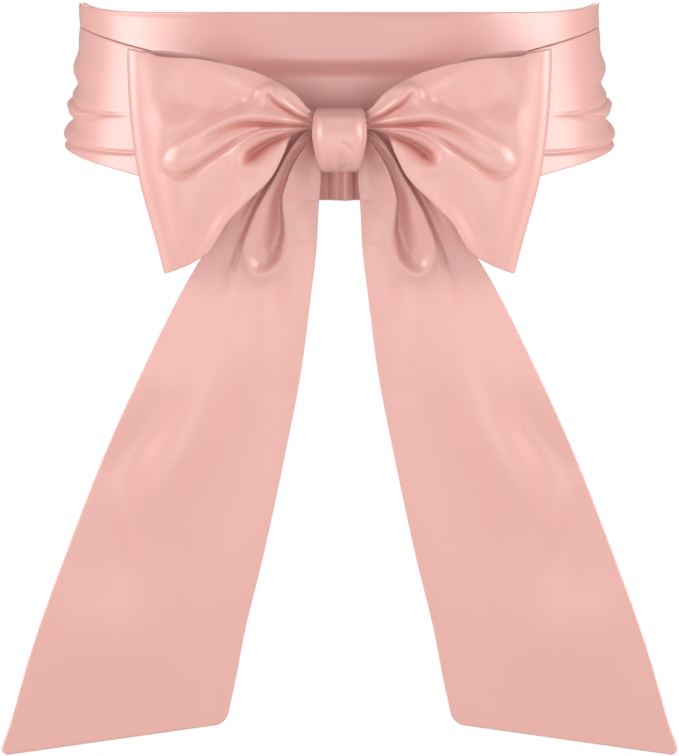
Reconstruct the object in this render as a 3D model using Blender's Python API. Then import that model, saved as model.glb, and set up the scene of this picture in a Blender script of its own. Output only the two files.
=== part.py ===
# A satin sash, wound twice round an open waist and tied in a bow in front.
# Metres in the scene, with every size below in millimetres. +Z is up and the bow faces -Y.
# The origin is the centre of the waist hollow, at about the band's middle height.

import bpy
import numpy as np

MM = 0.001

# Driving dimensions, in millimetres
CLOTH = 1.4            # two layers of satin, sewn and turned
SEAT_GAP = 0.3         # between stretches of the strip that touch
WAIST_HALF_WIDTH = 128.8
WAIST_HALF_DEPTH = 91.0
WAIST_SQUARENESS = 2.3  # 2 is an ellipse, more is squarer
UPPER_TUCK = 1.9       # how far the upper turn is drawn in where the lower one covers it
LOWER_FLARE = 8.2      # how far the lower turn stands out at its hem
OUTER_EDGE_BOW = 4.7   # how far a loop's outer fold bows out
LOWER_BOW_LOST = 0.5   # share of that bow lost towards the bottom corner
BACK_LAYER_RISE = 1.6  # how far a loop's back layer shows above the front one near the outer fold
BACK_RISE_SHARES = (0.5, 0.64, 0.84, 0.95)  # it comes in and goes out between these
TAIL_INNER_CORNER = 7.0
TAIL_OUTER_CORNER = 3.0
HEM_WIDTH = 110.0      # along a tail's slanted hem
FRONT_STEP = 3.4       # how far the upper turn steps in above the knot
FRONT_STEP_HEIGHTS = (8.0, 19.0)  # the step lies between these heights
FRONT_STEP_ANGLE = 17.0  # degrees each side of the front
PULLED_FLAT_ANGLE = 30.0  # degrees each side of the front where the bow pulls the lower turn flat
PULLED_FLARE = 0.55       # share of the flare lost there
ROLLS_FROM = (52.0, 84.0)  # the lower turn's rolls come in between these angles from the front
ROLLS_EASE = (100.0, 150.0)  # and get lower between these
ROLLS_LOST_BEHIND = 0.6    # share of them lost at the back
EDGE_CLEAR = (0.8, 4.5)   # the upper turn is tucked in between these heights above the lower turn's edge
KNOT_CURL_DEPTHS = (118.0, 129.0)  # the knot's long edges turn back between these depths
LOOP_NOSE_SHARE = 0.042   # share of a loop's length taken by its rounded outer fold
LOOP_CALM_ROOT = (0.06, 0.24)  # a loop's folds come in between these shares of its length
LOOP_CALM_NOSE = (0.86, 0.97)  # and go out between these
LOOP_EDGE_CLOSING = 0.25  # share by which a loop's two layers draw together at its long edges
LOOP_EDGE_POWER = 6
TAIL_CALM_ROOT = (0.0, 0.12)
HEM_CORNERS_FROM = 0.86   # share of a tail's length where its rounded corners begin

NORMAL_BLENDS = 4      # passes of smoothing on the directions in which a wall is thickened

# Grid sizes: cells along and across each sheet
UPPER_BAND_CELLS = (60, 5, 1, 2)  # round the waist, above, at and below the lower turn's edge
LOWER_BAND_CELLS = (60, 12)
LOOP_LAYER_CELLS = 17
LOOP_NOSE_CELLS = 6
LOOP_CROSS_CELLS = 20
TAIL_CELLS = (30, 13)
KNOT_CELLS = (18, 10)
RING_EASE = 0.10       # moves cells round the waist to where the outline turns
LOOP_ROOT_EASE = 0.9   # below 1 gives a loop's cells more room at the knot
TAIL_ROOT_EASE = 1.15  # above 1 gives a tail more cells at the knot
TAIL_EDGE_EASE = 0.055 # more cells at a tail's long edges
KNOT_EDGE_EASE = 0.85  # below 1 gives the knot more cells at its long edges

# Heights round the waist, by the angle from the front
#   angle, upper turn's top, upper turn's lower edge, lower turn's top, lower turn's hem
BAND_HEIGHTS = (
    (0, 40.0, -24.0, -11.0, -49.3),
    (8, 40.0, -23.0, -6.0, -49.0),
    (16, 40.0, -21.0, 4.0, -48.2),
    (25, 40.0, -19.0, 12.5, -45.8),
    (38, 40.0, -18.0, 19.6, -40.8),
    (48, 40.2, -17.0, 23.4, -36.6),
    (62, 41.4, -15.0, 27.9, -32.3),
    (78, 43.9, -13.0, 31.9, -28.1),
    (90, 45.4, -12.0, 33.5, -25.8),
    (110, 42.0, -12.0, 33.0, -24.6),
    (130, 39.9, -13.0, 31.5, -25.0),
    (155, 38.7, -14.0, 30.0, -26.5),
    (180, 38.3, -14.0, 29.5, -27.0),
)

# Rolls that run round the lower turn: place down its width, half width, height out of the cloth
LOWER_ROLLS = (
    (0.20, 0.07, -0.7),
    (0.34, 0.07, 0.8),
    (0.48, 0.07, -2.5),
    (0.64, 0.05, 1.6),
    (0.78, 0.045, -1.6),
    (0.89, 0.05, 1.2),
)

# Sections across a loop, from the knot out to its outer fold
#   share, top reach, top height, bottom reach, bottom height, middle depth, half gap
LOOP_SECTIONS = (
    (0.00, 4.0, -9.5, 4.0, -14.0, -115.2, 1.9),
    (0.12, 14.1, -5.8, 15.0, -14.3, -116.6, 2.5),
    (0.20, 20.8, 1.5, 22.5, -17.0, -118.6, 4.3),
    (0.30, 30.0, 7.7, 26.5, -26.0, -120.0, 6.2),
    (0.40, 39.5, 12.2, 32.1, -36.9, -120.0, 7.2),
    (0.52, 51.0, 15.5, 42.8, -47.9, -119.5, 7.8),
    (0.64, 62.5, 17.8, 53.0, -58.5, -118.0, 7.6),
    (0.76, 74.0, 19.3, 61.1, -71.6, -115.8, 6.8),
    (0.88, 87.0, 20.8, 70.5, -78.2, -113.2, 5.4),
    (1.00, 99.0, 23.0, 82.1, -82.9, -110.5, 4.2),
)

# Folds in a loop's front layer, in reach and height, from their start to their end
#   reach, height, reach, height, half width at the start, at the end, height out of the cloth
LOOP_FOLDS = (
    (14.0, -6.0, 40.0, 9.0, 2.2, 5.0, 3.0),       # ridge under the top edge
    (17.0, -9.5, 34.0, 4.0, 1.8, 3.0, -2.6),      # dent below it
    (18.0, -10.0, 50.0, -5.0, 2.8, 7.0, 2.0),     # bright ridge above the main crease
    (22.0, -13.6, 46.0, -13.6, 2.4, 3.0, -2.0),   # main crease
    (46.0, -13.6, 79.0, -25.0, 2.6, 3.4, -1.8),   # upper side of the long finger
    (42.0, -17.5, 76.0, -30.5, 3.0, 4.8, 2.2),    # the long finger
    (46.0, -21.0, 74.0, -36.0, 2.4, 3.4, -1.6),   # lower side of the long finger
    (26.0, -16.5, 46.0, -25.0, 2.4, 3.2, 1.6),    # rim of the short finger
    (28.0, -20.0, 39.0, -26.0, 2.6, 4.0, -3.4),   # deep hollow of the short finger
    (22.0, -18.0, 34.0, -34.0, 2.0, 4.0, 2.2),    # ridge along the lower edge
    (36.0, -34.0, 58.0, -52.0, 4.0, 7.0, -2.2),   # soft hollow in from the lower edge
    (44.0, -46.0, 64.0, -70.0, 4.0, 5.0, 1.8),    # its bright rim
    (84.0, -8.0, 74.0, -62.0, 9.0, 12.0, 1.8),    # soft roll inside the outer fold
)

# Folds in a loop's hidden back layer, the same columns
LOOP_BACK_FOLDS = (
    (16.0, -8.0, 60.0, 6.0, 3.0, 7.0, -2.0),
    (18.0, -12.0, 66.0, -30.0, 3.0, 8.0, 2.2),
    (20.0, -16.0, 50.0, -48.0, 3.0, 7.0, -2.0),
)

# Sections across a tail, from the knot down to its slanted hem
#   share, inner reach, inner height, outer reach, outer height, depth
TAIL_SECTIONS = (
    (0.00, 4.0, -28.0, 4.5, -15.5, -109.5),
    (0.05, 8.6, -30.5, 15.5, -14.2, -108.8),
    (0.10, 8.8, -39.5, 27.0, -18.5, -106.8),
    (0.17, 9.9, -52.0, 43.0, -36.0, -105.0),
    (0.26, 10.8, -70.0, 57.0, -62.0, -104.0),
    (0.36, 13.4, -92.5, 74.0, -90.4, -103.5),
    (0.50, 18.2, -129.7, 92.8, -127.8, -103.0),
    (0.64, 26.6, -173.2, 111.6, -168.8, -102.0),
    (0.78, 36.3, -218.5, 130.7, -217.3, -101.0),
    (0.90, 46.0, -258.8, 147.8, -264.5, -100.0),
    (1.00, 53.4, -301.2, 163.0, -317.0, -99.0),
)

# Folds in a tail, the same columns as a loop's
TAIL_FOLDS = (
    (12.0, -24.0, 22.0, -46.0, 3.0, 6.0, 3.2),     # inner part, lying forward
    (22.0, -46.0, 17.0, -90.0, 6.0, 7.0, 2.4),
    (20.0, -33.0, 31.0, -48.0, 3.0, 4.0, -2.4),    # recess beside its lip
    (31.0, -48.0, 31.0, -74.0, 3.6, 4.6, -2.6),
    (22.0, -27.0, 37.0, -50.0, 2.6, 3.6, 2.4),     # middle ridge
    (37.0, -50.0, 50.0, -92.0, 3.6, 5.0, 2.6),
    (34.0, -34.0, 52.0, -62.0, 3.0, 5.0, -2.6),    # recess by the loop
    (62.0, -104.0, 84.0, -158.0, 12.0, 15.0, 2.2),  # soft roll below the loop
    (84.0, -158.0, 104.0, -205.0, 15.0, 14.0, -1.4),
    (40.0, -120.0, 62.0, -215.0, 10.0, 14.0, -1.6),
    (116.0, -210.0, 128.0, -285.0, 13.0, 15.0, 2.0),
    (70.0, -225.0, 84.0, -300.0, 13.0, 16.0, 1.2),
)

# The knot's path over the front, from its upper end to its lower end, both on the band
#   share, depth, height, half width
KNOT_PATH = (
    (0.00, -88.7, -8.0, 9.4),
    (0.12, -103.0, -6.4, 10.0),
    (0.25, -112.0, -5.4, 10.6),
    (0.38, -122.0, -6.2, 11.2),
    (0.48, -128.3, -10.0, 12.2),
    (0.60, -130.0, -17.0, 12.6),
    (0.72, -128.8, -24.6, 11.4),
    (0.82, -124.0, -30.8, 9.6),
    (0.91, -115.0, -33.8, 8.6),
    (1.00, -94.6, -35.2, 8.0),
)
KNOT_SIDE_CURL = 5.6    # how far its long edges turn back onto the loops
KNOT_CURL_POWER = 4.0

SATIN_PINK = (0.86, 0.52, 0.49, 1.0)
SATIN_ROUGHNESS = 0.42


def smooth_table(rows, x):
    """Columns of a table at x: cubic Hermite through the rows, flat where a column turns."""
    rows = np.asarray(rows, float)
    knots, values = rows[:, 0], rows[:, 1:]
    step = np.diff(knots)[:, None]
    secant = np.diff(values, axis=0) / step
    slope = np.zeros_like(values)
    same_way = secant[:-1] * secant[1:] > 0
    safe = np.where(same_way, secant[:-1] + secant[1:], 1.0)
    slope[1:-1] = np.where(same_way, 2 * secant[:-1] * secant[1:] / safe, 0.0)
    slope[0], slope[-1] = secant[0], secant[-1]
    x = np.clip(np.asarray(x, float), knots[0], knots[-1])
    i = np.clip(np.searchsorted(knots, x, side="right") - 1, 0, len(knots) - 2)
    h = (knots[i + 1] - knots[i])[..., None]
    t = ((x - knots[i])[..., None]) / h
    h00 = (1 + 2 * t) * (1 - t) ** 2
    h10 = t * (1 - t) ** 2
    h01 = t * t * (3 - 2 * t)
    h11 = t * t * (t - 1)
    return h00 * values[i] + h10 * h * slope[i] + h01 * values[i + 1] + h11 * h * slope[i + 1]


def fold_relief(folds, reach, height):
    """Height out of the cloth: each fold is a soft ridge or trough along a straight run."""
    relief = np.zeros_like(reach)
    for r0, z0, r1, z1, w0, w1, out in folds:
        along = np.array([r1 - r0, z1 - z0])
        share = ((reach - r0) * along[0] + (height - z0) * along[1]) / (along @ along)
        share = np.clip(share, 0, 1)
        far = np.hypot(reach - r0 - share * along[0], height - z0 - share * along[1])
        width = w0 + (w1 - w0) * share
        relief += out * np.exp(-((far / width) ** 2))
    return relief


def smooth_step(low, high, x):
    t = np.clip((x - low) / (high - low), 0, 1)
    return t * t * (3 - 2 * t)


def blend_neighbours(grid, axis, closed):
    """Half of each value and a quarter of each neighbour along one axis."""
    if closed:
        before, after = np.roll(grid, 1, axis=axis), np.roll(grid, -1, axis=axis)
    else:
        last = grid.shape[axis] - 1
        before = np.take(grid, np.clip(np.arange(last + 1) - 1, 0, last), axis=axis)
        after = np.take(grid, np.clip(np.arange(last + 1) + 1, 0, last), axis=axis)
    return 0.5 * grid + 0.25 * (before + after)


def sheet_normals(points, closed):
    """Unit normals of a grid of points, blended so that the wall doesn't cross itself in a tight fold."""
    if closed:
        along = np.roll(points, -1, axis=0) - np.roll(points, 1, axis=0)
    else:
        along = np.gradient(points, axis=0)
    across = np.gradient(points, axis=1)
    normal = np.cross(along, across)
    for _ in range(NORMAL_BLENDS):
        normal = normal / np.linalg.norm(normal, axis=-1, keepdims=True)
        normal = blend_neighbours(blend_neighbours(normal, 0, closed), 1, False)
    return normal / np.linalg.norm(normal, axis=-1, keepdims=True)


def cloth_solid(name, points, thickness, closed, flip):
    """One closed solid: the sheet's grid, half a thickness each way, with its edges filled."""
    normal = sheet_normals(points, closed)
    if flip:
        normal = -normal
    outer = points + normal * thickness / 2
    inner = points - normal * thickness / 2
    rows, columns = points.shape[:2]
    count = rows * columns
    index = np.arange(count).reshape(rows, columns)
    a = index if closed else index[:-1]
    b = np.roll(index, -1, axis=0) if closed else index[1:]
    quads = np.stack([a[:, :-1], b[:, :-1], b[:, 1:], a[:, 1:]], axis=-1).reshape(-1, 4)
    rims = [np.stack([a[:, 0], a[:, 0] + count, b[:, 0] + count, b[:, 0]], axis=-1),
            np.stack([a[:, -1], b[:, -1], b[:, -1] + count, a[:, -1] + count], axis=-1)]
    if not closed:
        first, last = index[0], index[-1]
        rims.append(np.stack([first[:-1], first[1:], first[1:] + count, first[:-1] + count], axis=-1))
        rims.append(np.stack([last[:-1], last[:-1] + count, last[1:] + count, last[1:]], axis=-1))
    cells = np.concatenate([quads[:, [0, 1, 2]], quads[:, [0, 2, 3]]])
    edges = np.concatenate(rims)
    edges = np.concatenate([edges[:, [0, 1, 2]], edges[:, [0, 2, 3]]])
    faces = np.concatenate([cells, cells[:, ::-1] + count, edges])
    if flip:
        faces = faces[:, ::-1]
    mesh = bpy.data.meshes.new(name)
    mesh.from_pydata((np.concatenate([outer, inner]).reshape(-1, 3) * MM).tolist(), [], faces.tolist())
    mesh.update()
    mesh.shade_smooth()
    obj = bpy.data.objects.new(name, mesh)
    bpy.context.scene.collection.objects.link(obj)
    obj.data.materials.append(satin(name))
    return obj


def satin(name):
    material = bpy.data.materials.new(name + "_satin")
    material.use_nodes = True
    shader = material.node_tree.nodes["Principled BSDF"]
    shader.inputs["Base Color"].default_value = SATIN_PINK
    shader.inputs["Roughness"].default_value = SATIN_ROUGHNESS
    shader.inputs["Metallic"].default_value = 0.0
    return material


def waist_ring(angle, offset):
    """A point on the waist's rounded outline, moved out by offset along its normal.
    x = a sin^(2/n), y = -b cos^(2/n), with n the squareness."""
    power = 2 / WAIST_SQUARENESS
    s, c = np.sin(angle), np.cos(angle)
    x = WAIST_HALF_WIDTH * np.sign(s) * np.abs(s) ** power
    y = -WAIST_HALF_DEPTH * np.sign(c) * np.abs(c) ** power
    steep = WAIST_SQUARENESS - 1
    nx = np.sign(x) * np.abs(x / WAIST_HALF_WIDTH) ** steep / WAIST_HALF_WIDTH
    ny = np.sign(y) * np.abs(y / WAIST_HALF_DEPTH) ** steep / WAIST_HALF_DEPTH
    size = np.hypot(nx, ny)
    return x + offset * nx / size, y + offset * ny / size


def ring_angles(count):
    """Angles round the waist, closer together where the outline turns at the sides."""
    turn = np.arange(count) * 2 * np.pi / count
    return turn + RING_EASE * np.sin(2 * turn)


def upper_turn():
    """The first turn: its top edge shows, and it steps in above the knot."""
    around, above, at_edge, below = UPPER_BAND_CELLS
    angle = ring_angles(around)[:, None]
    from_front = np.degrees(np.abs((angle + np.pi) % (2 * np.pi) - np.pi))
    heights = smooth_table(BAND_HEIGHTS, from_front)
    top, low, edge = heights[..., 0], heights[..., 1], heights[..., 2]
    tucked, free = edge + EDGE_CLEAR[0], edge + EDGE_CLEAR[1]
    runs = ((top, free, above), (free, tucked, at_edge), (tucked, low, below))
    z = np.concatenate([start + (end - start) * np.arange(cells) / cells for start, end, cells in runs]
                       + [low], axis=1)
    at_front = np.exp(-((from_front / FRONT_STEP_ANGLE) ** 2))
    step = -FRONT_STEP * at_front * smooth_step(-FRONT_STEP_HEIGHTS[1], -FRONT_STEP_HEIGHTS[0], -z)
    tuck = -UPPER_TUCK * smooth_step(-EDGE_CLEAR[1], -EDGE_CLEAR[0], edge - z)
    x, y = waist_ring(angle + 0 * z, np.minimum(step, tuck))
    return np.stack([x, y, z], axis=-1)


def lower_turn():
    """The second turn, outside the first: flared, with rolls at its sides, drawn down in front."""
    angle = ring_angles(LOWER_BAND_CELLS[0])[:, None]
    down = np.linspace(0, 1, LOWER_BAND_CELLS[1] + 1)[None, :]
    from_front = np.degrees(np.abs((angle + np.pi) % (2 * np.pi) - np.pi))
    heights = smooth_table(BAND_HEIGHTS, from_front)
    top, low = heights[..., 2], heights[..., 3]
    z = top + (low - top) * down
    at_front = np.exp(-((from_front / PULLED_FLAT_ANGLE) ** 2))
    rolls = sum(out * np.exp(-(((down - place) / width) ** 2)) for place, width, out in LOWER_ROLLS)
    rolled = smooth_step(*ROLLS_FROM, from_front)
    rolled = rolled * (1 - ROLLS_LOST_BEHIND * smooth_step(*ROLLS_EASE, from_front))
    offset = LOWER_FLARE * down * (1 - PULLED_FLARE * at_front) + rolls * rolled
    offset = np.maximum(offset, 0) + CLOTH + SEAT_GAP - UPPER_TUCK
    x, y = waist_ring(angle + 0 * z, offset)
    return np.stack([x, y, z], axis=-1)


def loop_sheet(side):
    """One loop, from its front root out round the outer fold and back to its back root."""
    across = np.linspace(0, 1, LOOP_CROSS_CELLS + 1)
    reach_to_nose = 1 - LOOP_NOSE_SHARE
    front = np.linspace(0, 1, LOOP_LAYER_CELLS) ** LOOP_ROOT_EASE * reach_to_nose
    turn = np.linspace(0, np.pi, LOOP_NOSE_CELLS + 1)
    nose = reach_to_nose + LOOP_NOSE_SHARE * np.sin(turn)
    share = np.concatenate([front[:-1], nose, front[:-1][::-1]])
    facing = np.concatenate([np.ones(len(front) - 1), np.cos(turn), -np.ones(len(front) - 1)])
    section = smooth_table(LOOP_SECTIONS, share)
    top, low = section[:, None, 0:2], section[:, None, 2:4]
    v = across[None, :, None]
    flat = top + (low - top) * v
    chord = low - top
    outward = np.concatenate([-chord[..., 1:2], chord[..., 0:1]], axis=-1)
    outward = outward / np.linalg.norm(outward, axis=-1, keepdims=True)
    fuller = 1 - LOWER_BOW_LOST * smooth_step(0.5, 1.0, v)
    bow = OUTER_EDGE_BOW * share[:, None, None] ** 2 * 4 * v * (1 - v) * fuller
    flat = flat + outward * bow
    reach, height = flat[..., 0], flat[..., 1]
    rise_in, rise_full, rise_last, rise_out = BACK_RISE_SHARES
    risen = smooth_step(rise_in, rise_full, share) * (1 - smooth_step(rise_last, rise_out, share))
    risen = risen * (facing < 0)
    height = height + BACK_LAYER_RISE * risen[:, None] * (1 - across[None, :]) ** 4
    middle, gap = section[:, None, 4], section[:, None, 5]
    calm = (smooth_step(*LOOP_CALM_ROOT, share) * (1 - smooth_step(*LOOP_CALM_NOSE, share)))[:, None]
    front_relief = fold_relief(LOOP_FOLDS, reach, height) * calm
    back_relief = fold_relief(LOOP_BACK_FOLDS, reach, height) * calm
    belly = 1 - LOOP_EDGE_CLOSING * (2 * across[None, :] - 1) ** LOOP_EDGE_POWER
    is_front = np.clip(facing, 0, 1)[:, None]
    is_back = np.clip(-facing, 0, 1)[:, None]
    depth = middle - gap * facing[:, None] * belly - front_relief * is_front + back_relief * is_back
    return np.stack([side * reach, depth, height], axis=-1)


def tail_sheet(side):
    """One tail: a fan of the strip from under the knot, then straight down to its hem."""
    along = np.linspace(0, 1, TAIL_CELLS[0] + 1) ** TAIL_ROOT_EASE
    across = np.linspace(0, 1, TAIL_CELLS[1] + 1)
    across = across - TAIL_EDGE_EASE * np.sin(2 * np.pi * across)
    section = smooth_table(TAIL_SECTIONS, along)
    v = across[None, :]
    reach = section[:, None, 0] + (section[:, None, 2] - section[:, None, 0]) * v
    height = section[:, None, 1] + (section[:, None, 3] - section[:, None, 1]) * v
    for corner, far in ((TAIL_INNER_CORNER, v * HEM_WIDTH), (TAIL_OUTER_CORNER, (1 - v) * HEM_WIDTH)):
        inside = np.clip(1 - far / corner, 0, 1)
        lift = corner * (1 - np.sqrt(1 - inside ** 2))
        height = height + lift * smooth_step(HEM_CORNERS_FROM, 1.0, along)[:, None]
    relief = fold_relief(TAIL_FOLDS, reach, height) * smooth_step(*TAIL_CALM_ROOT, along)[:, None]
    depth = section[:, None, 4] - relief
    return np.stack([side * reach, depth + 0 * reach, height], axis=-1)


def knot_sheet():
    """The wrap over the knot: a curved strip with its long edges turned back."""
    along = np.linspace(0, 1, KNOT_CELLS[0] + 1)
    across = np.linspace(-1, 1, KNOT_CELLS[1] + 1)
    path = smooth_table(KNOT_PATH, along)
    depth, height, half = path[:, None, 0], path[:, None, 1], path[:, None, 2]
    turned = np.sign(across) * np.abs(across) ** KNOT_EDGE_EASE
    curl = KNOT_SIDE_CURL * np.abs(turned) ** KNOT_CURL_POWER
    forward = smooth_step(*KNOT_CURL_DEPTHS, -depth)
    x = half * turned[None, :]
    y = depth + curl[None, :] * forward
    z = height + 0 * x
    return np.stack([x, y, z], axis=-1)


for old in list(bpy.data.objects):
    bpy.data.objects.remove(old, do_unlink=True)

cloth_solid("band_upper_turn", upper_turn(), CLOTH, True, False)
cloth_solid("band_lower_turn", lower_turn(), CLOTH, True, False)
for word, side in (("left", -1), ("right", 1)):
    cloth_solid("loop_" + word, loop_sheet(side), CLOTH, False, side > 0)
    cloth_solid("tail_" + word, tail_sheet(side), CLOTH, False, side > 0)
cloth_solid("knot", knot_sheet(), CLOTH, False, False)
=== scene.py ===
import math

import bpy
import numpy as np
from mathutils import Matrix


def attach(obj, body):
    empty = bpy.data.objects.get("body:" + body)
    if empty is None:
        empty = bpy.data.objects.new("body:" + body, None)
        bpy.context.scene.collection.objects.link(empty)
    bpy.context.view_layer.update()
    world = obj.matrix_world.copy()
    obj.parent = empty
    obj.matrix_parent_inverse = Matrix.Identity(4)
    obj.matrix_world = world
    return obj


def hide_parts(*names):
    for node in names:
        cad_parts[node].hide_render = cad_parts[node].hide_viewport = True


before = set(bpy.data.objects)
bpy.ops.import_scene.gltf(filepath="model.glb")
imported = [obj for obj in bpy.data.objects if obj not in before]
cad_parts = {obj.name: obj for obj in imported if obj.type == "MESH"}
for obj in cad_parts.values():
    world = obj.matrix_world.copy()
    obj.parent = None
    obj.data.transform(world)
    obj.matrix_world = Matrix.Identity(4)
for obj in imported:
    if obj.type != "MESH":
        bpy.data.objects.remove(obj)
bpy.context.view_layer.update()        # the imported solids, in metres, +Z up, bow facing -Y

# %% [markdown]
# # A satin sash, tied in a bow
# The real thing is one long strip: two layers of satin, sewn together, turned right side out and
# pressed. It goes twice round a waist and is tied in front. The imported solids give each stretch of
# the strip its true place. This lesson dresses every stretch with a finer shell of the same form,
# with the creases that the knot pulls into the cloth, and gives the shells a satin finish.

MM = 0.001
scene = bpy.context.scene
scene.view_settings.view_transform = "Standard"
print("packed nodes:", sorted(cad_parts))

# %% [markdown]
# ## The strip's own sizes
# All sizes are in millimetres and become metres only when a mesh is made. The cloth is 1.4 mm
# thick, because it is two layers with their seam allowances inside. The waist is a rounded oval,
# a little squarer than an ellipse.

# %% Driving sizes
CLOTH = 1.4
SEAT_GAP = 0.3
WAIST_HALF_WIDTH = 128.8
WAIST_HALF_DEPTH = 91.0
WAIST_SQUARENESS = 2.3      # 2 is an ellipse
UPPER_TUCK = 1.9
LOWER_FLARE = 8.2
LOOP_NOSE = 4.2
OUTER_EDGE_BOW = 4.7
LOWER_BOW_LOST = 0.5        # share of that bow, lost towards the bottom
BACK_LAYER_RISE = 1.6
FRONT_LAYER_DIP = 0.9
FRONT_HALF = 20.0           # reach of the close columns in the lower turn's front
TAIL_INNER_CORNER = 6.6
TAIL_OUTER_CORNER = 3.6
HEM_WIDTH = 110.0
print("waist:", 2 * WAIST_HALF_WIDTH, "by", 2 * WAIST_HALF_DEPTH, "mm, cloth:", CLOTH, "mm")

# %% [markdown]
# ## Smooth tables
# A form that changes along its length, such as a loop that widens from the knot, is a short table
# of sections. Between the rows a cubic curve runs through the values. A monotone cubic is used,
# because it never swings past a row, so an edge has no bumps that nobody asked for.

# %% Curves through tables
def smooth_step(low, high, x):
    """0 below low, 1 above high, and 3t^2 - 2t^3 between."""
    t = np.clip((x - low) / (high - low), 0, 1)
    return t * t * (3 - 2 * t)


def hill(places, x):
    """0, then 1 between the second and the third place, then 0 again after the fourth."""
    start, full, fade, end = places
    return smooth_step(start, full, x) * (1 - smooth_step(fade, end, x))


def smooth_table(rows, x):
    """The table's columns at x: cubic Hermite pieces, with the harmonic mean of the slopes
    either side of a row, and a flat slope where a column turns."""
    rows = np.asarray(rows, float)
    knots, values = rows[:, 0], rows[:, 1:]
    secant = np.diff(values, axis=0) / np.diff(knots)[:, None]
    slope = np.zeros_like(values)
    same_way = secant[:-1] * secant[1:] > 0
    safe = np.where(same_way, secant[:-1] + secant[1:], 1.0)
    slope[1:-1] = np.where(same_way, 2 * secant[:-1] * secant[1:] / safe, 0.0)
    slope[0], slope[-1] = secant[0], secant[-1]
    x = np.clip(np.asarray(x, float), knots[0], knots[-1])
    i = np.clip(np.searchsorted(knots, x, side="right") - 1, 0, len(knots) - 2)
    h = (knots[i + 1] - knots[i])[..., None]
    t = (x - knots[i])[..., None] / h
    return ((1 + 2 * t) * (1 - t) ** 2 * values[i] + t * (1 - t) ** 2 * h * slope[i]
            + t * t * (3 - 2 * t) * values[i + 1] + t * t * (t - 1) * h * slope[i + 1])


def smooth_path(rows, per_row=6):
    """A path through a table's rows: Catmull-Rom, so it bends gently at each row."""
    rows = np.asarray(rows, float)
    ends = np.vstack([2 * rows[0] - rows[1], rows, 2 * rows[-1] - rows[-2]])
    count = (len(rows) - 1) * per_row + 1
    u = np.linspace(0, len(rows) - 1, count)
    i = np.minimum(u.astype(int), len(rows) - 2)
    t = (u - i)[:, None]
    a, b, c, d = ends[i], ends[i + 1], ends[i + 2], ends[i + 3]
    return 0.5 * (2 * b + (c - a) * t + (2 * a - 5 * b + 4 * c - d) * t ** 2
                  + (3 * b - a - 3 * c + d) * t ** 3)


# %% [markdown]
# ## Creases as strokes
# A knot pulls cloth into ridges and hollows that start at the knot and fade out. They could be
# sculpted or simulated. Here each one is a stroke drawn on the flat front view of the bow, because
# then every crease can be put where the real one lies. A stroke has a row every centimetre or two:
# its reach from the middle, its height, its half width on each side and how far it stands out.
# Different widths on the two sides make a lip: a steep drop on one side, a slow fall on the other.
# The same relief also tells where the creases are deep: where it lies below its own local mean. There
# the satin's colour is painted darker, as painted shade.

# %% Strokes into relief
FADED = 3                   # half widths from its path where a stroke has faded out
NARROWEST = 0.1             # millimetres, the least half width
TINY = 1e-9                 # keeps a division away from zero


def fold_relief(folds, reach, height):
    """Sum over strokes of out * exp(-(distance / half width)^2). The distance is to the nearest
    point of the stroke's path. The half width is the first one to the left of the path's direction
    of travel and the second one to its right, and goes smoothly from one to the other round an end."""
    relief = np.zeros_like(reach)
    for rows in folds:
        path = smooth_path(rows)
        margin = FADED * path[:, 2:4].max()
        near = ((reach > path[:, 0].min() - margin) & (reach < path[:, 0].max() + margin)
                & (height > path[:, 1].min() - margin) & (height < path[:, 1].max() + margin))
        r, z = reach[near], height[near]
        nearest = np.full(r.shape, np.inf)
        best = np.zeros(r.shape + (4,))
        for start, end in zip(path[:-1], path[1:]):
            dr, dz = end[0] - start[0], end[1] - start[1]
            long = dr * dr + dz * dz
            t = np.clip(((r - start[0]) * dr + (z - start[1]) * dz) / long, 0, 1)
            off_r, off_z = r - start[0] - t * dr, z - start[1] - t * dz
            far = off_r ** 2 + off_z ** 2
            closer = far < nearest
            nearest[closer] = far[closer]
            row = start[2:5] + (end[2:5] - start[2:5]) * t[:, None]
            best[closer, :3] = row[closer]
            left = (dr * off_z - dz * off_r) / np.sqrt(long * np.maximum(far, TINY))
            best[closer, 3] = left[closer]
        left_half, right_half, out, side = best.T
        width = (left_half + right_half) / 2 + (left_half - right_half) / 2 * side
        relief[near] += out * np.exp(-nearest / np.maximum(width, NARROWEST) ** 2)
    return relief


def below_around(relief, cells, closed=False):
    """How far a point lies below its surroundings, in millimetres: the mean over the cells around
    it, taken twice so that it is smooth, less the point's own relief."""
    mean = relief
    for axis, span in ((0, cells[0]), (1, cells[1])) * 2:
        pad = [(0, 0), (0, 0)]
        pad[axis] = (span + 1, span)
        mode = "wrap" if closed and axis == 0 else "edge"
        total = np.cumsum(np.pad(mean, pad, mode=mode), axis=axis)
        first = np.arange(relief.shape[axis])
        last = first + 2 * span + 1
        mean = (np.take(total, last, axis=axis) - np.take(total, first, axis=axis)) / (2 * span + 1)
    return mean - relief


# %% [markdown]
# ## From a grid of points to a cloth shell
# Every stretch of the strip is a grid: one parameter runs along the strip and the other across it.
# The visible side is the grid moved out by half the cloth, and the other side is moved in. Both
# move along the direction of the smooth form without its creases, so the wall never cuts itself
# inside a tight fold. Towards the edges the wall thins like a half circle, as a turned and pressed
# edge does. A UV map in metres runs along and across the strip, for the weave.

# %% The shell maker
EDGE_ROUND = CLOTH / 2      # millimetres over which the wall thins towards its rim
EDGE_ROWS = (0.0, 0.08, 0.25, 0.55, 1.0)   # shares of that, from the rim inwards
THINNEST = 0.03             # share of the cloth's thickness that the rim keeps
FULL_SHADE_DEPTH = 1.6           # millimetres below the cloth around it, where the painted crease shade is full


def unit(vectors):
    """The same directions with length 1."""
    return vectors / np.maximum(np.linalg.norm(vectors, axis=-1, keepdims=True), TINY)


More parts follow.
